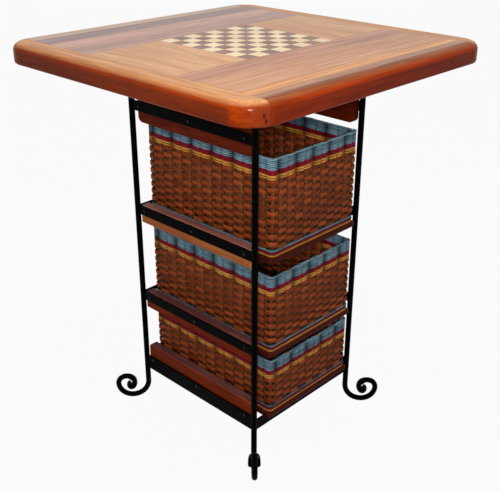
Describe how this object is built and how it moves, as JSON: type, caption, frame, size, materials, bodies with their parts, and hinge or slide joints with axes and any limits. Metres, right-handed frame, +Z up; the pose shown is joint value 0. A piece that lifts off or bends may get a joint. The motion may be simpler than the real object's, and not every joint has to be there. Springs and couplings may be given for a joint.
{
  "type": "games table",
  "caption": "Tall square games table with an inlaid chessboard top on a scroll-footed iron stand, with woven pull-out baskets on open shelves.",
  "frame": {"origin": "on the floor under the middle of the square top", "axes": "+Z up, the baskets pull out towards -Y, +X to the right as seen from the front"},
  "size_m": [0.864, 0.864, 1.087],
  "materials": {
    "plank_wood": "satin varnish",
    "rose_wood": "satin varnish",
    "grey_wood": "satin varnish",
    "amber_wood": "satin varnish",
    "panel_wood": "satin varnish",
    "edge_wood": "satin varnish",
    "end_wood": "satin varnish",
    "backing_wood": "plain",
    "dark_square_wood": "satin varnish",
    "light_square_wood": "satin varnish",
    "apron_wood": "satin varnish",
    "shelf_wood": "satin varnish",
    "rail_wood": "satin varnish",
    "black_iron": "gloss black",
    "screw_steel": "dull",
    "basket_base_reed": "natural reed",
    "brown_reed": "stained reed",
    "blue_reed": "dyed reed",
    "red_reed": "dyed reed",
    "gold_reed": "dyed reed"
  },
  "bodies": {
    "table": {"amber_strip": "amber_wood", "back_cross_bar": "black_iron", "back_edge_band": "edge_wood", "back_grey_strip": "grey_wood", "back_left_leg": "black_iron", "back_plank": "plank_wood", "back_right_leg": "black_iron", "back_rose_strip": "rose_wood", "chess_backing": "backing_wood", "dark_squares": "dark_square_wood", "front_cross_bar": "black_iron", "front_edge_band": "edge_wood", "front_grey_strip": "grey_wood", "front_left_leg": "black_iron", "front_plank": "plank_wood", "front_right_leg": "black_iron", "front_rose_strip": "rose_wood", "left_apron": "apron_wood", "left_end_band": "end_wood", "left_lower_rail": "rail_wood", "left_lower_shelf_bar": "black_iron", "left_middle_rail": "rail_wood", "left_middle_shelf_bar": "black_iron", "left_panel": "panel_wood", "left_top_bar": "black_iron", "left_upper_rail": "rail_wood", "left_upper_shelf_bar": "black_iron", "light_squares": "light_square_wood", "lower_shelf_board": "shelf_wood", "middle_back_stop": "black_iron", "middle_shelf_board": "shelf_wood", "right_apron": "apron_wood", "right_end_band": "end_wood", "right_lower_rail": "rail_wood", "right_lower_shelf_bar": "black_iron", "right_middle_rail": "rail_wood", "right_middle_shelf_bar": "black_iron", "right_panel": "panel_wood", "right_top_bar": "black_iron", "right_upper_rail": "rail_wood", "right_upper_shelf_bar": "black_iron", "top_battens": "backing_wood", "upper_back_stop": "black_iron", "upper_shelf_board": "shelf_wood", "wood_screws": "screw_steel"},
    "upper_basket": {"upper_basket_base": "basket_base_reed", "upper_basket_blue_reed": "blue_reed", "upper_basket_gold_reed": "gold_reed", "upper_basket_red_reed": "red_reed", "upper_basket_wall": "brown_reed"},
    "middle_basket": {"middle_basket_base": "basket_base_reed", "middle_basket_blue_reed": "blue_reed", "middle_basket_gold_reed": "gold_reed", "middle_basket_red_reed": "red_reed", "middle_basket_wall": "brown_reed"},
    "lower_basket": {"lower_basket_base": "basket_base_reed", "lower_basket_blue_reed": "blue_reed", "lower_basket_gold_reed": "gold_reed", "lower_basket_red_reed": "red_reed", "lower_basket_wall": "brown_reed"}
  },
  "joints": [
    {"name": "upper_basket_slide", "type": "slide", "parent": "table", "child": "upper_basket", "axis": [0, -1, 0], "range_m": [0, 0.4]},
    {"name": "middle_basket_slide", "type": "slide", "parent": "table", "child": "middle_basket", "axis": [0, -1, 0], "range_m": [0, 0.4]},
    {"name": "lower_basket_slide", "type": "slide", "parent": "table", "child": "lower_basket", "axis": [0, -1, 0], "range_m": [0, 0.4]}
  ]
}
